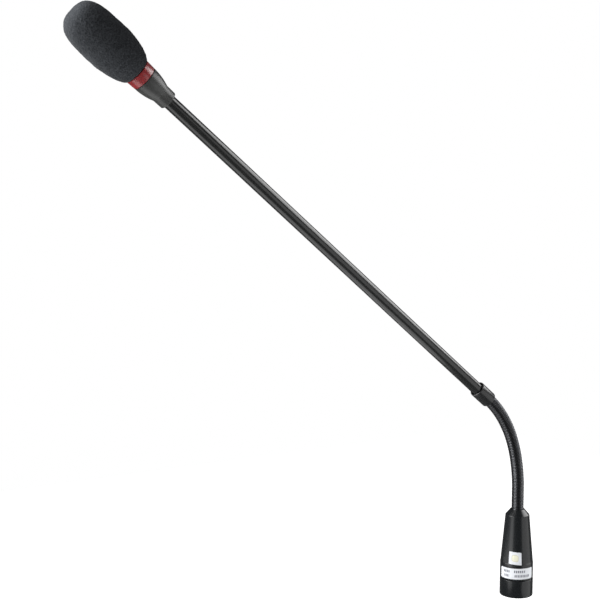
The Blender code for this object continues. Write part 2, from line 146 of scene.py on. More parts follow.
def grid_mesh(name, points, wrap_rows=False, wrap_columns=True, marks=None, sharp=SHARP_ANGLE):
    """A mesh from a grid of points: each four neighbours make a face.

    A wrapped direction closes on itself. Doubled points, as on a pole, are merged, and on a closed
    shape the faces look outwards, which the sign of its volume tells.
    """
    rows, columns = points.shape[:2]
    row = np.arange(rows if wrap_rows else rows - 1)[:, None]
    column = np.arange(columns if wrap_columns else columns - 1)[None, :]
    next_row, next_column = (row + 1) % rows, (column + 1) % columns
    ring = [row * columns + column, next_row * columns + column]
    ring += [next_row * columns + next_column, row * columns + next_column]
    faces = np.stack(np.broadcast_arrays(*ring), axis=-1).reshape(-1, 4)
    flat = points.reshape(-1, 3)
    a, b, c, d = (flat[faces[:, k]] - flat.mean(0) for k in range(4))
    if (np.cross(a, b) * c + np.cross(a, c) * d).sum() < 0:
        faces = faces[:, ::-1]
    mesh = bpy.data.meshes.new(name)
    mesh.from_pydata(flat, [], faces.tolist())
    for label, values in (marks or {}).items():
        everywhere = np.broadcast_to(values, (rows, columns)).astype(np.float32)
        mesh.attributes.new(label, "FLOAT", "POINT").data.foreach_set("value", everywhere.ravel())
    shape = bmesh.new()
    shape.from_mesh(mesh)
    bmesh.ops.remove_doubles(shape, verts=shape.verts, dist=MERGE_DISTANCE)
    shape.to_mesh(mesh)
    shape.free()
    mesh.shade_smooth()
    mesh.set_sharp_from_angle(angle=math.radians(sharp))
    return mesh


def add_piece(name, mesh, finish, body, replaced=()):
    """A piece at the origin that rides on a body and stands for the CAD nodes it replaces."""
    piece = bpy.data.objects.new(name, mesh)
    bpy.context.scene.collection.objects.link(piece)
    mesh.materials.clear()
    mesh.materials.append(finish)
    if body:
        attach(piece, body)
    if replaced:
        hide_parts(*replaced)
    return piece


def turned_mesh(name, profile, line, sides=96, facets=None, flutes=None):
    """A profile turned about a line: point = place(radius, turn, height) for every row and turn.

    facets is a row mask where the radius follows a hexagon instead of a circle. flutes is a function
    of (row radius, turn) that adds to the radius.
    """
    turn = np.linspace(0, 2 * math.pi, sides, endpoint=False)[None, :]
    radius = np.repeat(profile[:, :1], sides, axis=1)
    if facets is not None:
        hexagon = 1 / np.cos((turn + math.pi / 6) % (math.pi / 3) - math.pi / 6)
        radius = np.where(facets[:, None], radius * hexagon, radius)
    if flutes is not None:
        radius = radius + flutes(radius, turn)
    points = line.place(radius, turn, profile[:, 1:2])
    return grid_mesh(name, points, wrap_rows=profile[0, 0] > 0, marks={"edge": profile[:, 2:3]})


def cut_out(mesh, cutters):
    """The mesh with the cutters taken away, by exact Booleans on a helper that is then removed."""
    helper = bpy.data.objects.new("helper", mesh)
    bpy.context.scene.collection.objects.link(helper)
    tools = []
    for cutter in cutters:
        tool = bpy.data.objects.new("cutter", cutter)
        bpy.context.scene.collection.objects.link(tool)
        boolean = helper.modifiers.new("cut", "BOOLEAN")
        boolean.object = tool
        tools.append(tool)
    bpy.context.view_layer.update()
    made = bpy.data.meshes.new_from_object(helper.evaluated_get(bpy.context.evaluated_depsgraph_get()))
    for used in [helper, *tools]:
        bpy.data.objects.remove(used)
    made.name = mesh.name
    made.shade_smooth()
    made.set_sharp_from_angle(angle=math.radians(SHARP_ANGLE))
    return made


# ------------------------------------------------------------------ repeatable noise


def hashed(cells, seed):
    """A repeatable number in 0..1 for each whole-number cell: the fraction of a large, fast sine."""
    key = np.array([127.1, 311.7, 74.7])
    return np.modf(np.abs(np.sin(cells @ key + seed * 53.9) * 43758.5453))[0]


def pore_depth(points, size):
    """For each point, its distance to the nearest of one random seed per cell, as a share of the cell."""
    scaled = points / size
    base = np.floor(scaled)
    nearest = np.full(points.shape[:-1], 9.0)
    offsets = np.array(np.meshgrid([-1, 0, 1], [-1, 0, 1], [-1, 0, 1])).reshape(3, -1).T
    for offset in offsets:
        cell = base + offset
        seed = cell + np.stack([hashed(cell, k) for k in (1, 2, 3)], axis=-1)
        nearest = np.minimum(nearest, np.linalg.norm(seed - scaled, axis=-1))
    return nearest


def soft_lumps(points, size):
    """Value noise: eased blends between a random number at each corner of a cell, from -1 to 1."""
    scaled = points / size
    base = np.floor(scaled)
    share = scaled - base
    share = share * share * (3 - 2 * share)
    total = np.zeros(points.shape[:-1])
    for corner in np.ndindex(2, 2, 2):
        weight = np.prod(np.where(corner, share, 1 - share), axis=-1)
        total += weight * hashed(base + corner, 7)
    return total * 2 - 1


# ------------------------------------------------------------------ finishes


class Signal:
    """One output socket, so that shader maths reads as a Python expression."""

    def __init__(self, finish, socket):
        self.finish = finish
        self.socket = socket

    def maths(self, operation, first, second):
        return self.finish.node("Math", {"operation": operation}, {0: first, 1: second})

    def __add__(self, other):
        return self.maths("ADD", self, other)

    def __sub__(self, other):
        return self.maths("SUBTRACT", self, other)

    def __rsub__(self, other):
        return self.maths("SUBTRACT", other, self)

    def __mul__(self, other):
        return self.maths("MULTIPLY", self, other)

    def __pow__(self, other):
        return self.maths("POWER", self, other)

    def __mod__(self, other):
        return self.maths("FLOORED_MODULO", self, other)

    def largest(self, other):
        return self.maths("MAXIMUM", self, other)

    def size(self):
        return self.finish.node("Math", {"operation": "ABSOLUTE"}, {0: self})

    def other(self, label):
        """Another output of the same node."""
        return Signal(self.finish, self.socket.node.outputs[label])

    def rise(self, start, end):
        """0 below start, 1 above end, and an eased step between them."""
        settings = {"interpolation_type": "SMOOTHSTEP"}
        return self.finish.node("MapRange", settings, {"Value": self, "From Min": start, "From Max": end})

    __radd__ = __add__


class Finish:
    """A material of nodes. node() makes any node, and surface() ends it with a Principled shader."""

    def __init__(self, name):
        self.material = bpy.data.materials.new(name)
        self.material.use_nodes = True
        self.tree = self.material.node_tree
        self.tree.nodes.clear()

    def node(self, kind, settings=None, values=None, output=0):
        """A node of that kind: its settings first, then its sockets."""
        made = self.tree.nodes.new("ShaderNode" + kind)
        for label, setting in (settings or {}).items():
            setattr(made, label, setting)
        for label, value in (values or {}).items():
            self.fill(made.inputs[label], value)
        return Signal(self, made.outputs[output])

    def fill(self, socket, value):
        if isinstance(value, Signal):
            self.tree.links.new(value.socket, socket)
        elif socket.type == "RGBA":
            socket.default_value = (*value, 1.0)
        else:
            socket.default_value = value

    def place(self, scale=(1, 1, 1), turn=(0, 0, 0)):
        """Object coordinates, turned and scaled by a Mapping node."""
        point = self.node("TexCoord", output="Object")
        return self.node("Mapping", None, {"Vector": point, "Scale": scale, "Rotation": turn})

    def noise(self, grain, detail=3.0, scale=(1, 1, 1)):
        """Noise in 0..1 whose lumps are about grain mm wide."""
        values = {"Vector": self.place(scale), "Scale": 1 / (grain * MM), "Detail": detail}
        return self.node("TexNoise", None, values)

    def mark(self, label):
        """A number kept on the mesh's points, such as its worn edges."""
        return self.node("Attribute", {"attribute_name": label}, output="Fac")

    def mix(self, factor, first, second):
        """first where factor is 0, second where it is 1."""
        return self.node("Mix", {"data_type": "RGBA"}, {0: factor, 6: first, 7: second}, output=2)

    def surface(self, colour, roughness, metallic=0.0, height=None, depth=0.01, **constants):
        """The Principled shader. height is a bump's Signal, and depth its full rise in mm."""
        shader = self.tree.nodes.new("ShaderNodeBsdfPrincipled")
        values = {"Base Color": colour, "Roughness": roughness, "Metallic": metallic}
        values.update({label.replace("_", " "): value for label, value in constants.items()})
        if height is not None:
            values["Normal"] = self.node("Bump", None, {"Height": height, "Distance": depth * MM})
        for label, value in values.items():
            self.fill(shader.inputs[label], value)
        end = self.tree.nodes.new("ShaderNodeOutputMaterial")
        self.tree.links.new(shader.outputs[0], end.inputs["Surface"])
        return self.material


def painted_metal(name, colour, worn, roughness, peel=0.8, depth=0.002):
    """Lacquer on metal: orange peel, faint smears in the gloss and paler, smoother edges."""
    made = Finish(name)
    edge = made.mark("edge") * made.noise(0.9).rise(0.35, 0.75)
    smear = made.noise(6.0, scale=(1, 1, 0.4))
    return made.surface(
        made.mix(edge * 0.5, made.mix(smear, colour, [c * 1.4 for c in colour]), worn),
        smear * 0.09 + (roughness - 0.045) - edge * 0.06,
        height=made.noise(peel, 2.0),
        depth=depth,
        Coat_Weight=0.2,
        Coat_Roughness=0.1,
    )


def moulded_plastic(name, colour, roughness, grain=0.25, depth=0.02):
    """Spark-eroded moulded plastic: a fine leathery grain and a slow drift of tone."""
    made = Finish(name)
    drift = made.noise(7.0)
    grains = made.noise(grain, 4.0)
    return made.surface(
        made.mix(drift, [c * 0.85 for c in colour], [c * 1.15 for c in colour]),
        grains * 0.14 + (roughness - 0.07),
        height=grains,
        depth=depth,
    )


def bare_metal(name, colour, roughness):
    """Plated or turned metal: fine rings from the tool, and a dull bloom in patches."""
    made = Finish(name)
    bloom = made.noise(3.0)
    rings = made.noise(0.12, 2.0, scale=(0.1, 0.1, 1.0))
    return made.surface(
        made.mix(bloom, [c * 0.82 for c in colour], colour),
        bloom * 0.2 + rings * 0.1 + (roughness - 0.1),
        1.0,
        height=rings,
        depth=0.004,
    )


def wound_conduit():
    """Blackened steel winding: the grooves are painted much darker than the crests as painted shade, and the
    crests are rubbed paler and smoother in patches.
    """
    made = Finish("wound_conduit")
    crest = made.mark("crest")
    rub = crest * made.noise(1.6).rise(0.3, 0.7)
    # Painted shade: the colour runs from near-black in the grooves to ten times paler on the crests,
    # following the winding's rise.
    colour = made.mix(crest.rise(0.15, 0.85), (0.008, 0.008, 0.009), (0.08, 0.082, 0.087))
    return made.surface(
        made.mix(rub * 0.4, colour, (0.13, 0.131, 0.136)),
        0.38 - rub * 0.1 - crest * 0.06,
        1.0,
        height=made.noise(0.15),
        depth=0.004,
    )


def red_lens():
    """Tinted clear plastic with faint flow lines from the mould."""
    made = Finish("red_lens")
    flow = made.noise(2.2, scale=(1, 1, 3))
    return made.surface(
        made.mix(flow, (0.3, 0.012, 0.017), (0.39, 0.019, 0.024)),
        flow * 0.08 + 0.24,
        height=flow,
        depth=0.003,
        Transmission_Weight=0.45,
        IOR=1.49,
        Coat_Weight=0.7,
        Coat_Roughness=0.24,
    )


def open_foam():
    """Open-cell foam: the pores between the struts are painted much darker as painted shade, with a slow
    mottle of wear and dust.
    """
    made = Finish("open_foam")
    strut = made.mark("strut")
    fine = made.noise(0.22, 3.0)
    mottle = made.noise(2.4, 3.0)
    # Painted shade: where strut is low, in the pits of the cells, the colour falls to near-black, and the
    # struts stay paler.
    body = made.mix(strut * 0.8 + fine * 0.2, (0.011, 0.0125, 0.0145), (0.125, 0.135, 0.15))
    return made.surface(
        made.mix(mottle.rise(0.4, 0.7) * 0.2, body, (0.14, 0.149, 0.163)),
        1.0,
        height=fine,
        depth=0.12,
        Specular_IOR_Level=0.15,
        Sheen_Weight=0.06,
        Sheen_Roughness=0.6,
    )


def label_paper(name, print_of):
    """Coated label stock with its print, which print_of works out from the label's own map in mm."""
    made = Finish(name)
    across = made.node("SeparateXYZ", None, {"Vector": made.node("UVMap", {"uv_map": "label"})})
    up = across.other("Y")
    fibre = made.noise(0.3, 4.0)
    paper = made.mix(fibre, (0.66, 0.68, 0.715), (0.74, 0.76, 0.79))
    return made.surface(print_of(made, across, up, paper), fibre * 0.1 + 0.38, height=fibre, depth=0.01)


def dash_rows(made, across, up, paper):
    """Two rows of plain grey dashes, each in a short and a long block."""
    colour = paper
    for level, start, end, pitch in (
        (1.6, -9.6, -4.6, 1.25),
        (1.6, -1.9, 6.4, 1.35),
        (-1.5, -9.2, -5.2, 1.2),
        (-1.5, -1.4, 9.4, 1.1),
    ):
        line = 1 - (up - level).size().rise(0.75, 0.95)
        block = 1 - (across - (start + end) / 2).size().rise((end - start) / 2 - 0.1, (end - start) / 2 + 0.1)
        dash = 1 - ((across - start) % pitch - pitch * 0.42).size().rise(pitch * 0.26, pitch * 0.36)
        ink = line * block * dash * (made.noise(0.9).rise(0.2, 0.5) * 0.35 + 0.6)
        colour = made.mix(ink, colour, (0.09, 0.095, 0.13))
    return colour


def pale_square(made, across, up, paper):
    """A pale yellow square with soft corners and a thin outline."""
    distance = (across.size() ** 4 + up.size() ** 4) ** 0.25
    inside = 1 - distance.rise(2.0, 2.3)
    border = 1 - (distance - 2.1).size().rise(0.1, 0.35)
    colour = made.mix(inside * 0.6, paper, (0.8, 0.77, 0.5))
    return made.mix(border * 0.55, colour, (0.5, 0.47, 0.28))


def solder_mask():
    """Green solder mask over copper tracks, with bare pads on a regular pitch."""
    made = Finish("solder_mask")
    cells = {"Vector": made.place(), "Scale": 700.0, "Randomness": 0.0}
    pads = made.node("TexVoronoi", {"feature": "F1"}, cells)
    tracks = made.noise(1.4, 0.0, scale=(1, 1, 0.35)).rise(0.48, 0.52)
    mask = made.mix(tracks, (0.006, 0.07, 0.03), (0.012, 0.13, 0.055))
    pad = 1 - pads.rise(0.16, 0.2)
    return made.surface(made.mix(pad, mask, (0.6, 0.58, 0.52)), 0.35 - pad * 0.1, height=tracks, depth=0.03)


def woven_mesh():
    """Fine black wire mesh: two sets of wires cross, and the gaps between them are painted near-black as
    painted shade.
    """
    made = Finish("woven_mesh")
    lean = math.asin(-STEM.along[0])
    across = made.node("SeparateXYZ", None, {"Vector": made.place(turn=(0, lean, 0))})
    pitch = 0.42 * MM
    ways = (across, across.other("Y"))
    wires = [1 - ((way % pitch) - pitch / 2).size().rise(pitch * 0.2, pitch * 0.4) for way in ways]
    wire = wires[0].largest(wires[1])
    # Painted shade: the gaps between the wires are painted near-black.
    colour = made.mix(wire, (0.002, 0.002, 0.002), (0.06, 0.06, 0.065))
    return made.surface(colour, 0.75 - wire * 0.4, wire * 0.6, height=wire, depth=0.12)


def pressed_felt():
    """Felt: matted fibres of many directions."""
    made = Finish("pressed_felt")
    fibre = made.noise(0.3, 6.0)
    colour = made.mix(fibre, (0.02, 0.02, 0.022), (0.11, 0.11, 0.115))
    return made.surface(colour, 1.0, height=fibre, depth=0.2, Sheen_Weight=0.3)


def clear_lamp():
    """Clear resin of a small lamp, over its pale die."""
    made = Finish("clear_lamp")
    cloud = made.noise(0.5)
    colour = made.mix(cloud, (0.7, 0.62, 0.5), (0.92, 0.88, 0.8))
    return made.surface(colour, 0.18 + cloud * 0.1, Transmission_Weight=0.5, IOR=1.5)


BLACK_LACQUER = painted_metal("black_lacquer", (0.0042, 0.0054, 0.0064), (0.06, 0.06, 0.064), 0.27)
GLOSS_LACQUER = painted_metal("gloss_lacquer", (0.009, 0.0095, 0.0095), (0.06, 0.06, 0.064), 0.2, 1.6, 0.0015)
COLLAR_LACQUER = painted_metal("collar_lacquer", (0.008, 0.0085, 0.009), (0.1, 0.1, 0.105), 0.28)
CONDUIT_STEEL = wound_conduit()
BOOT_PLASTIC = moulded_plastic("boot_plastic", (0.034, 0.035, 0.034), 0.36, 0.25, 0.008)
RED_LENS = red_lens()
OPEN_FOAM = open_foam()
BLACK_RUBBER = moulded_plastic("black_rubber", (0.018, 0.018, 0.018), 0.75)
NICKEL_PLATE = bare_metal("nickel_plate", (0.66, 0.63, 0.58), 0.3)
GOLD_PLATE = bare_metal("gold_plate", (0.9, 0.64, 0.28), 0.24)
BLACK_INSULATOR = moulded_plastic("black_insulator", (0.026, 0.026, 0.027), 0.5)
SOLDER_MASK = solder_mask()
CHIP_EPOXY = moulded_plastic("chip_epoxy", (0.028, 0.028, 0.03), 0.6, 0.12)
SOCKET_NYLON = moulded_plastic("socket_nylon", (0.72, 0.7, 0.64), 0.45)
CABLE_JACKET = moulded_plastic("cable_jacket", (0.13, 0.13, 0.14), 0.55, 0.5)
WRAP_PAPER = label_paper("wrap_paper", dash_rows)
SQUARE_PAPER = label_paper("square_paper", pale_square)
MESH_CLOTH = woven_mesh()
FELT = pressed_felt()
CLEAR_LAMP = clear_lamp()

# ------------------------------------------------------------------ plug and base


def make_lock_ring():
    """The screw ring: eased edges outside, a helical thread in its bore."""
    foot, top, lip_bore, radius = PLUG.span("lock_ring")
    bore, thread_depth, thread_pitch = 10.2, 0.28, 0.75
    profile = outline(
        (radius, top, 0.3),
        (radius, foot, 0.45),
        (bore + 0.1, foot, 0.25),
        *[(bore, level) for level in np.arange(foot + 0.6, 8.7, 0.09)],
        (bore, 9.7),
        (lip_bore, 9.7, 0.2),
        (lip_bore, top, 0.3),
    )
    level = profile[:, 1:2]
    threaded = (np.abs(profile[:, :1] - bore) < 0.001) & (level < 8.7) & (level > foot + 0.5)

    def thread(radii, turn):
        """Minus a triangle wave of height / pitch - turn, inside the bore only."""
        wave = np.abs(((level / thread_pitch - turn / (2 * math.pi)) % 1) * 2 - 1)
        return np.where(threaded, thread_depth * (wave - 1) * 0.9, 0 * radii)

    mesh = turned_mesh("threaded_lock_ring", profile, PLUG, 128, flutes=thread)
    add_piece("threaded_lock_ring", mesh, BLACK_LACQUER, "lock_ring", ["lock_ring"])


BARREL_WALL = 1.5
SKIRT_RADIUS = 11.5
TAPER_FOOT, TAPER_FOOT_RADIUS = 24.2, 11.35
SHOULDER, SHOULDER_RADIUS = 57.5, 8.35


def skirt_radius(height):
    """Outside radius of the barrel below its taper, the same at every height."""
    return SKIRT_RADIUS + 0 * height


def taper_radius(height):
    """Outside radius of the barrel's taper: it falls evenly from its foot to the shoulder."""
    share = (height - TAPER_FOOT) / (SHOULDER - TAPER_FOOT)
    return TAPER_FOOT_RADIUS + (SHOULDER_RADIUS - TAPER_FOOT_RADIUS) * share


def make_barrel():
    """The tapered casing with its set screw hole, and the hexagon socket screw in it."""
    foot, top, mouth, radius = PLUG.span("base_barrel")
    inner = radius - BARREL_WALL
    profile = outline(
        (mouth + 0.3, top, 0.15),
        (SHOULDER_RADIUS, SHOULDER, 0.55),
        (TAPER_FOOT_RADIUS, TAPER_FOOT + 0.05, 0.06),
        (radius, TAPER_FOOT - 0.15, 0.1),
        (radius, foot, 0.25),
        (inner, foot, 0.15),
        (inner, TAPER_FOOT),
        (SHOULDER_RADIUS - BARREL_WALL, SHOULDER - 0.8),
        (mouth, top - 2.2),
        (mouth, top, 0.12),
    )
    screw_low, screw_high = PLUG.span("barrel_set_screw")[:2]
    level = (screw_low + screw_high) / 2
    screw_box = sum(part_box("barrel_set_screw"), Vector())
    facing = math.atan2(screw_box.y, screw_box.x)
    out = np.array([math.cos(facing), math.sin(facing), 0.0])
    screw_line = Line((0, 0, level * MM), out, (0, 0, 1))
    screw_foot, screw_top, _, screw_radius = screw_line.span("barrel_set_screw")
    bore_start, bore_end, bore_radius = 8.5, 14.5, screw_radius + 0.2
    bore = outline((0, bore_end), (bore_radius, bore_end), (bore_radius, bore_start), (0, bore_start))
    mesh = turned_mesh("barrel_casing", profile, PLUG, 160)
    mesh = cut_out(mesh, [turned_mesh("bore", bore, screw_line, 32)])
    add_piece("barrel_casing", mesh, BLACK_LACQUER, "base", ["base_barrel"])
    key = 0.78  # radius of the hexagon socket's flats
    screw = outline(
        (0, screw_top - 1.1),
        (key, screw_top - 0.9),
        (key, screw_top),
        (screw_radius, screw_top, 0.2),
        (screw_radius, screw_foot, 0.3),
        (0, screw_foot),
    )
    facets = np.abs(screw[:, 0] - key) < 0.001
    mesh = turned_mesh("hexagon_set_screw", screw, screw_line, 48, facets)
    add_piece("hexagon_set_screw", mesh, BLACK_LACQUER, "base", ["barrel_set_screw"])


def make_contacts():
    """Contact pins with round noses, radius * cos a at height foot + radius * (1 - sin a)."""
    for number in range(1, 6):
        node = f"contact_pin_{number}"
        centre = (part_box(node)[0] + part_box(node)[1]) / 2
        line = Line((centre.x, centre.y, 0), (0, 0, 1), (1, 0, 0))
        foot, top, _, radius = line.span(node)
        angle = np.linspace(math.pi / 2, 0, 9)
        nose = smooth_run(radius * np.cos(angle), foot + radius - radius * np.sin(angle))[::-1]
        back = outline((0, top), (radius, top, 0.15), (radius, foot))[:-1]
        profile = np.vstack([back, nose])
        mesh = turned_mesh(f"round_pin_{number}", profile, line, 32)
        add_piece(f"round_pin_{number}", mesh, GOLD_PLATE, "base", [node])


def wrapped_label(name, node, radius_at, corner, tilt, finish):
    """Thin stock wrapped on the base: a point at (across, up) mm lies at angle across / radius.

    The half width shrinks near the top and the bottom by a quarter circle, which rounds the corners.
    It is stuck on a little askew: it rises by tilt mm for each mm across.
    """
    points = np.array([vertex.co for vertex in NODES[node].data.vertices])
    facing = math.atan2(points[:, 1].mean(), points[:, 0].mean())
    low, high = points[:, 2].min() / MM, points[:, 2].max() / MM
    half_height = (high - low) / 2 - 0.1
    outer = np.linalg.norm(points[:, :2], axis=1) / MM - radius_at(points[:, 2] / MM)
    spread = np.abs((np.arctan2(points[:, 1], points[:, 0]) - facing + math.pi) % (2 * math.pi) - math.pi)
    half_width = float(spread.max()) * radius_at((low + high) / 2)
    up = half_height * np.sin(np.linspace(-math.pi / 2, math.pi / 2, 41))[:, None]
    inset = np.clip(np.abs(up) - (half_height - corner), 0, corner)
    width = half_width - corner + np.sqrt(corner**2 - inset**2)
    across = width * np.linspace(-1, 1, 97)[None, :]
    height = (low + high) / 2 + up + tilt * across
    turn = facing + across / radius_at((low + high) / 2)
    grid = PLUG.place(radius_at(height) + outer.max() - 0.01, turn, height)
    mesh = grid_mesh(name, grid, wrap_columns=False)
    layer = mesh.uv_layers.new(name="label")
    flat_map = np.stack(np.broadcast_arrays(across, up), axis=-1).reshape(-1, 2)
    loops = np.zeros(len(mesh.loops), np.int32)
    mesh.loops.foreach_get("vertex_index", loops)
    layer.data.foreach_set("uv", flat_map[loops].astype(np.float32).ravel())
    piece = add_piece(name, mesh, finish, "base", [node])
    stock = piece.modifiers.new("stock", "SOLIDIFY")
    stock.thickness = 0.12 * MM
    stock.offset = -1.0


# ------------------------------------------------------------------ conduit


def conduit_curve():
    """Points of the conduit's centre line, how far each is along it, and the same for the joins.

    Between two sideways hinges the line is (1-t)^2 A + 2t(1-t) B + t^2 C, where B is the bend hinge
    between them, so it leaves and meets each sideways hinge along its link. Pieces join at t = 1/4
    and t = 3/4.
    """
    sideways = [np.array(JOINTS[f"conduit_sideways_{k}"]["pos_m"]) for k in range(1, BENDS + 1)]
    bends = [np.array(JOINTS[f"conduit_bend_{k}"]["pos_m"]) for k in range(1, BENDS + 1)]
    sideways.append(STEM.foot)
    steps = 64
    share = np.linspace(0, 1, steps + 1)[:-1, None]
    runs = [np.array([[0, 0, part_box("conduit_stub")[0].z]])]
    for start, control, end in zip(sideways, bends, sideways[1:]):
        runs.append((1 - share) ** 2 * start + 2 * share * (1 - share) * control + share**2 * end)
    top = STEM.foot + STEM.along * STEM.span("conduit_top")[1] * MM
    points = np.vstack([*runs, [STEM.foot, top]])
    distance = np.concatenate([[0], np.cumsum(np.linalg.norm(np.diff(points, axis=0), axis=1))])
    quarters = (steps // 4, 3 * steps // 4)
    joins = [distance[1 + steps * k + quarter] for k in range(BENDS) for quarter in quarters]
    return points, distance, joins


def winding_height(phase):
    """Rise of the winding over one pitch, 0 to 1: a round wire, then a slightly lower one beside it.

    Each wire rises by its height times the root of 1 - (offset / half width)^2.
    """
    phase = phase % 1
    round_wire = np.sqrt(np.clip(1 - ((phase - 0.26) / 0.26) ** 2, 0, 1))
    flat_wire = 0.82 * np.sqrt(np.clip(1 - ((phase - 0.76) / 0.24) ** 2, 0, 1))
    return np.maximum(round_wire, flat_wire)


def make_conduit():
    """Twelve lengths of winding, each across one hinge.

    A point at distance s and turn a lies radius - depth * (1 - winding_height(s / pitch - a / 2 pi))
    from the centre line, so one helix runs through all of them.
    """
    points, distance, joins = conduit_curve()
    pitch, depth, row_step, sides = 2.1, 0.42, 0.105, 64
    radius = STEM.span("conduit_top")[3]
    bore = STEM.span("conduit_top")[2]
    nodes = ["conduit_stub"] + [f"conduit_link_{k:02d}" for k in range(1, 2 * BENDS)] + ["conduit_top"]
    ends = [0.0, *joins[:-1], distance[-1]]
    turn = np.linspace(0, 2 * math.pi, sides, endpoint=False)[None, :]
    inset, reach_ahead, first_blend, bore_rows = 0.5 * MM, 0.4 * MM, 9.0 * MM, 7

    def point_at(along):
        """Points of the centre line at those distances."""
        return np.stack([np.interp(along, distance, points[:, k]) for k in range(3)], axis=-1)

    for number in range(2 * BENDS):
        start, end = ends[number], ends[number + 1]
        count = max(8, round((end - start) / (row_step * MM)))
        out = np.linspace(start, end, count)
        back = np.linspace(end, start, bore_rows)
        along = np.concatenate([out, back])
        outside = (np.arange(len(along)) < count)[:, None]
        tangent = point_at(along + reach_ahead) - point_at(along - reach_ahead)
        tangent /= np.linalg.norm(tangent, axis=1)[:, None]
        side = np.array([0.0, 1.0, 0.0])
        normal = np.cross(side, tangent)
        rise = winding_height(along[:, None] / (pitch * MM) - turn / (2 * math.pi))
        reach = np.where(outside, radius - depth * (1 - rise), bore) * MM
        direction = np.cos(turn)[..., None] * normal[:, None, :] + np.sin(turn)[..., None] * side
        grid = point_at(along)[:, None, :] + reach[..., None] * direction
        # crest, the winding's rise, also paints shade into the grooves in wound_conduit.
        crest = np.where(outside, rise, 0.0)
        name = f"conduit_winding_{number + 1:02d}"
        mesh = grid_mesh(name, grid, wrap_rows=True, marks={"crest": crest}, sharp=60)
        replaced = [nodes[number]] + ([nodes[-1]] if number == 2 * BENDS - 1 else [])
        piece = add_piece(name, mesh, CONDUIT_STEEL, None, replaced)
        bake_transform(piece)


# ------------------------------------------------------------------ stem


def make_collar():
    """The sleeve over the conduit's end and the tube's end: round ends and a recess round the tube."""
    foot, top, bore, radius = STEM.span("collar")
    profile = outline(
        (bore, top - 0.7),
        (bore + 0.1, top, 0.3),
        (radius, top, 0.62),
        (radius, foot, 0.85),
        (bore, foot, 0.25),
    )
    mesh = turned_mesh("rounded_collar", profile, STEM, 96)
    add_piece("rounded_collar", mesh, COLLAR_LACQUER, "stem", ["collar"])


def make_tube():
    """The rigid tube: rows every few mm keep its long faces short."""
    foot, top, bore, radius = STEM.span("stem_tube")
    rows = 60
    outside = smooth_run(np.full(rows, radius), np.linspace(top, foot, rows))
    inside = smooth_run(np.full(2, bore), np.array([foot, top]))
    mesh = turned_mesh("lacquered_tube", np.vstack([outside, inside]), STEM, 96)
    add_piece("lacquered_tube", mesh, GLOSS_LACQUER, "stem", ["stem_tube"])


def make_head_boot():
    """Boot of the head: a sleeve with a rolled lip, then a bowl whose side is a parabola to the mouth."""
    foot, mouth, bore, radius = STEM.span("head_shell")
    shoulder, neck, rim = foot + 7.0, 5.93, 1.1
    share = np.linspace(0, 1, 40)
    bowl_top = mouth - 0.25
    bowl = smooth_run(neck + (radius - neck) * (1 - share**2), bowl_top - (bowl_top - shoulder) * share)
    lip = outline((radius - rim, mouth, 0.1), (radius, mouth, 0.2), (radius, bowl[0, 1]))[:-1]
    skirt = [(5.84, shoulder - 0.35), (5.74, foot + 1.2), (5.68, foot, 0.75), (bore, foot, 0.2)]
    hollow = [(bore, shoulder + 1.2), (5.6, shoulder + 2.0), (radius - rim, foot + 14.8)]
    profile = np.vstack([lip, bowl, outline(*skirt, *hollow)])
    mesh = turned_mesh("head_boot", profile, STEM, 128)
    add_piece("head_boot", mesh, BOOT_PLASTIC, "stem", ["head_shell"])


def make_light_ring():
    """The red lens: a smooth clear band with eased rims, which narrows a little towards the boot."""
    foot, top, bore, radius = STEM.span("light_ring")
    profile = outline(
        (radius, top, 0.3),
        (radius - 0.25, foot, 0.12),
        (bore, foot, 0.1),
        (bore, top, 0.1),
    )
    mesh = turned_mesh("red_light_ring", profile, STEM, 192)
    add_piece("red_light_ring", mesh, RED_LENS, "stem", ["light_ring"])


def box_mesh(name, line, size, height, turn):
    """A box of size (across, beside, along) mm, centred on the line at that height and turned about it."""
    signs = np.array([[-1, -1, -1], [1, -1, -1], [1, 1, -1], [-1, 1, -1]])
    corners = np.array([signs, signs * (1, 1, -1)]) / 2 * size
    local = np.hypot(corners[..., 0], corners[..., 1])
    angle = np.arctan2(corners[..., 1], corners[..., 0]) + turn
    mesh = grid_mesh(name, line.place(local, angle, corners[..., 2] + height), sharp=30)
    shape = bmesh.new()
    shape.from_mesh(mesh)
    bmesh.ops.holes_fill(shape, edges=shape.edges)
    bmesh.ops.recalc_face_normals(shape, faces=shape.faces)
    shape.to_mesh(mesh)
    shape.free()
    return mesh


def make_capsule_carrier():
    """What the windscreen hides: the slotted sleeve, and the mesh cap over the capsule."""
    foot, top, bore, flange = STEM.span("capsule_sleeve")
    light_top = STEM.span("light_ring")[1]
    radius, flange_top = 6.4, light_top + 1.1
    profile = outline(
        (radius, top, 0.2),
        (radius, flange_top, 0.1),
        (flange, flange_top, 0.15),
        (flange, light_top + 0.3, 0.1),
        (radius, light_top + 0.3),
        (radius, foot, 0.1),
        (bore, foot, 0.1),
        (bore, top, 0.15),
    )
    slot_size, slot_middle = (20.0, 1.6, 8.0), 345.5
    turns = [math.radians(120 + 60 * number) for number in range(3)]
    slots = [box_mesh("slot", STEM, slot_size, slot_middle, turn) for turn in turns]
    mesh = cut_out(turned_mesh("slotted_sleeve", profile, STEM, 96), slots)
    add_piece("slotted_sleeve", mesh, BLACK_LACQUER, "stem", ["capsule_sleeve"])
    cap_foot, cap_top, _, cap_radius = STEM.span("grille_cap")
    rim = cap_foot + 1.0
    angle = np.linspace(0, math.pi / 2, 24)
    dome = smooth_run(cap_radius * np.sin(angle), rim + (cap_top - rim) * np.cos(angle))
    under = smooth_run(0.88 * dome[:, 0], dome[:, 1] - 0.5)[::-1]
    edge = outline((cap_radius, rim), (cap_radius, cap_foot, 0.1), (bore, cap_foot))[1:]
    mesh = turned_mesh("mesh_cap", np.vstack([dome, edge, under]), STEM, 96)
    add_piece("mesh_cap", mesh, MESH_CLOTH, "stem", ["grille_cap"])


FOAM_WIDEST = 357.0


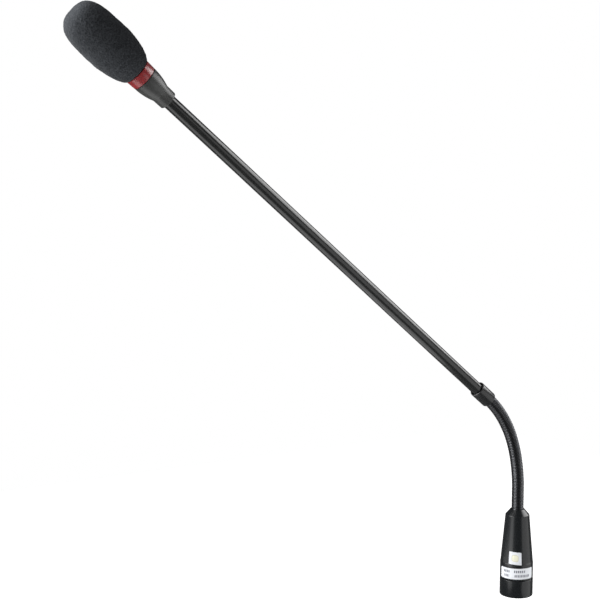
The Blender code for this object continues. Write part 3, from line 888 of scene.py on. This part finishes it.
def foam_radius(height, foot, tip, widest):
    """Radius at a height, where u runs from 0 at the widest place to 1 at the end.

    Behind it is rear + (widest - rear)(1 - u^1.9)^(1/1.35), ahead widest (1 - u^3.4)^(1/3.4).
    """
    rear = 8.9
    behind = np.clip((FOAM_WIDEST - height) / (FOAM_WIDEST - foot), 0, 1)
    ahead = np.clip((height - FOAM_WIDEST) / (tip - FOAM_WIDEST), 0, 1)
    shoulder = rear + (widest - rear) * (1 - behind**1.9) ** (1 / 1.35)
    nose = widest * (1 - ahead**3.4) ** (1 / 3.4)
    return np.where(height < FOAM_WIDEST, shoulder, nose)


def make_windscreen():
    """Foam windscreen: a turned form pitted by cells, deepest at each cell's seed, and slightly lumpy."""
    foot, tip, _, widest = STEM.span("windscreen")
    dense = np.linspace(0, math.pi, 4000)
    reach = np.where(dense < math.pi / 2, tip - FOAM_WIDEST, FOAM_WIDEST - foot)
    heights = FOAM_WIDEST + reach * np.cos(dense)
    radii = foam_radius(heights, foot, tip, widest)
    length = np.concatenate([[0], np.cumsum(np.hypot(np.diff(radii), np.diff(heights)))])
    outer_rows, sides, fade_rate = 268, 336, 40
    even = np.linspace(0, length[-1], outer_rows)
    outer = smooth_run(np.interp(even, length, radii), np.interp(even, length, heights))
    outer[0, 0] = 0.0
    shelf = STEM.span("light_ring")[1] + 1.5
    counterbore, cavity, cavity_end = 7.85, 6.8, 368.5
    inner = outline(
        (counterbore, foot, 0.3),
        (counterbore, shelf),
        (cavity, shelf),
        (cavity, cavity_end - 2.0, 0.8),
        (cavity - 2.0, cavity_end, 0.8),
        (0, cavity_end),
    )
    profile = np.vstack([outer, inner])
    turn = np.linspace(0, 2 * math.pi, sides, endpoint=False)[None, :]
    grid = STEM.place(profile[:, :1], turn, profile[:, 1:2])
    rows = np.gradient(profile[:, :2], axis=0)
    length_of_rows = np.linalg.norm(rows, axis=1)[:, None] + 1e-12
    normal = np.stack([-rows[:, 1], rows[:, 0]], axis=1) / length_of_rows
    outward = STEM.place(normal[:, :1], turn, normal[:, 1:2]) - STEM.foot
    share = np.arange(len(profile)) / outer_rows
    fade = np.clip(share * fade_rate, 0, 1) * np.clip((1 - share) * fade_rate, 0, 1) * (share < 1)
    cells = np.clip(pore_depth(grid, 0.95 * MM), 0, 1)
    small = np.clip(pore_depth(grid + 0.3, 0.5 * MM), 0, 1)
    # strut is high on the cell walls and low in the pits. It pushes the surface in, and open_foam also paints
    # shade into the pits by it.
    strut = np.clip(0.65 * cells + 0.35 * small, 0, 1)
    push = (0.42 * (strut - 0.75) + 0.16 * soft_lumps(grid, 4.5 * MM)) * fade[:, None]
    grid = grid + push[..., None] * outward
    mesh = grid_mesh("foam_windscreen", grid, marks={"strut": strut}, sharp=180)
    piece = add_piece("foam_windscreen", mesh, OPEN_FOAM, "windscreen", ["windscreen"])


def finish_carried_nodes():
    """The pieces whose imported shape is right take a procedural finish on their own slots."""
    finishes = {
        NICKEL_PLATE: ["plug_shell", "retaining_clip", "conduit_ferrule", "ferrule_nut"]
        + ["collar_spigot", "tube_nut", "capsule", "capsule_retainer"]
        + ["filter_capacitor_1", "filter_capacitor_2"],
        BLACK_INSULATOR: ["contact_insert"],
        BLACK_RUBBER: ["seal_ring", "capsule_seat"],
        SOLDER_MASK: ["circuit_board", "light_board"],
        CHIP_EPOXY: ["preamp_chip"],
        SOCKET_NYLON: ["board_socket"],
        CABLE_JACKET: ["base_cable", "stem_cable", "capsule_lead"],
        CLEAR_LAMP: [f"light_emitter_{k}" for k in range(1, 5)],
        FELT: ["felt_disc"],
    }
    for finish, names in finishes.items():
        for name in names:
            mesh = NODES[name].data
            mesh.materials.clear()
            mesh.materials.append(finish)


make_lock_ring()
make_barrel()
make_contacts()
wrapped_label("wrap_label", "rating_label", skirt_radius, 0.8, 0.01, WRAP_PAPER)
wrapped_label("square_sticker", "square_label", taper_radius, 0.25, -0.07, SQUARE_PAPER)
make_conduit()
make_collar()
make_tube()
make_head_boot()
make_light_ring()
make_capsule_carrier()
make_windscreen()
finish_carried_nodes()

# ------------------------------------------------------------------ studio

VIEW_AZIMUTH, VIEW_ELEVATION = math.radians(-31.33), math.radians(5.98)
AIM = Vector((-0.1194, 0.0980, 0.2066))
VIEW_DISTANCE = 0.9114
LEVEL = Vector((-math.sin(VIEW_AZIMUTH), math.cos(VIEW_AZIMUTH), 0))
RIGHT = Vector((math.cos(VIEW_AZIMUTH), math.sin(VIEW_AZIMUTH), 0))
TOWARDS = LEVEL * math.cos(VIEW_ELEVATION) - Vector((0, 0, math.sin(VIEW_ELEVATION)))
UP = RIGHT.cross(TOWARDS)


def seen(right, up, back):
    """A direction given as its share to the right, up and towards the camera."""
    return RIGHT * right + UP * up - TOWARDS * back


def aimed(name, data, location, upright):
    """An object whose -Z looks from its place to the aim point, its Y as near upright as can be."""
    obj = bpy.data.objects.new(name, data)
    bpy.context.scene.collection.objects.link(obj)
    back = (location - AIM).normalized()
    across = upright.cross(back).normalized()
    turn = Matrix((across, back.cross(across), back)).transposed()
    obj.matrix_world = Matrix.Translation(location) @ turn.to_4x4()
    return obj


def make_camera():
    lens = bpy.data.cameras.new("view")
    lens.sensor_width = 36.0
    lens.lens = 77.22
    lens.clip_start = 0.01
    camera = aimed("view", lens, AIM - TOWARDS * VIEW_DISTANCE, Vector((0, 0, 1)))
    bpy.context.scene.camera = camera


def add_softbox(name, location, size, radiance):
    """A rectangular soft light of even radiance: its power is radiance * pi * area."""
    lamp = bpy.data.lights.new(name, "AREA")
    lamp.shape = "RECTANGLE"
    lamp.size, lamp.size_y = size
    lamp.energy = radiance * math.pi * size[0] * size[1]
    softbox = aimed(name, lamp, location, UP)
    softbox.visible_camera = False
    return softbox


def shade_foam(softbox):
    """Keep a light off the windscreen, as a black flag beside the windscreen would."""
    kept_off = bpy.data.collections.new("shaded_from_" + softbox.name)
    kept_off.objects.link(bpy.data.objects["foam_windscreen"])
    softbox.light_linking.receiver_collection = kept_off
    kept_off.collection_objects[0].light_linking.link_state = "EXCLUDE"


def make_floor():
    """A pale floor of frosted acrylic, lit from below and too matt to show in the lacquer.

    The plug hangs in its socket above it, so the head clears it when the conduit bends right down.
    """
    made = Finish("pale_floor")
    white = made.mix(made.noise(60.0), (0.86, 0.86, 0.86), (0.9, 0.9, 0.9))
    surface = made.surface(white, 0.7, Emission_Color=(1.0, 1.0, 1.0), Emission_Strength=1.0)
    left, right, front, back, level = -1.5, 1.3, -1.2, 1.6, -0.3
    corners = [[(left, front, level), (right, front, level)], [(left, back, level), (right, back, level)]]
    mesh = grid_mesh("floor", np.array(corners), wrap_columns=False)
    floor = bpy.data.objects.new("floor", mesh)
    mesh.materials.append(surface)
    bpy.context.scene.collection.objects.link(floor)
    floor.visible_glossy = False
    shade_foam(floor)


def make_world():
    """A white surround for the eye, also through clear plastic, and a dim one for light and reflections."""
    world = bpy.data.worlds.new("studio")
    bpy.context.scene.world = world
    world.use_nodes = True
    tree = world.node_tree
    tree.nodes.clear()
    shown, lit = (tree.nodes.new("ShaderNodeBackground") for _ in range(2))
    for surround, strength in ((shown, 1.0), (lit, 0.12)):
        surround.inputs["Color"].default_value = (1, 1, 1, 1)
        surround.inputs["Strength"].default_value = strength
    path = tree.nodes.new("ShaderNodeLightPath")
    share = tree.nodes.new("ShaderNodeMixShader")
    end = tree.nodes.new("ShaderNodeOutputWorld")
    through = tree.nodes.new("ShaderNodeMath")
    tree.links.new(path.outputs["Is Camera Ray"], through.inputs[0])
    tree.links.new(path.outputs["Is Transmission Ray"], through.inputs[1])
    tree.links.new(through.outputs[0], share.inputs[0])
    tree.links.new(lit.outputs[0], share.inputs[1])
    tree.links.new(shown.outputs[0], share.inputs[2])
    tree.links.new(share.outputs[0], end.inputs["Surface"])


def make_softboxes():
    """Five softboxes round the view, and one under the stem that faces straight up."""
    for name, place, size, radiance, lights_foam in (
        ("right_high", (1.05, 0.52, -0.1), (1.1, 0.6), 4.6, False),
        ("right_low", (0.95, -0.35, 0.35), (1.3, 0.7), 0.9, False),
        ("left_low", (-0.85, -0.25, 0.7), (0.6, 0.8), 1.15, False),
        ("key_box", (-0.95, 0.48, 0.35), (0.8, 0.6), 9.0, True),
        ("top_box", (-0.3, 1.1, 0.2), (0.5, 0.5), 1.6, True),
    ):
        softbox = add_softbox(name, AIM + seen(*place), size, radiance)
        if not lights_foam:
            shade_foam(softbox)
    under = add_softbox("under_box", Vector((-0.29, 0.02, 0.001)), (0.42, 0.24), 1.35)
    shade_foam(under)
    under.matrix_world = Matrix.Translation(under.location) @ Matrix.Rotation(math.pi, 4, "X")


make_camera()
make_floor()
make_world()
make_softboxes()
bpy.context.scene.view_settings.view_transform = "Standard"
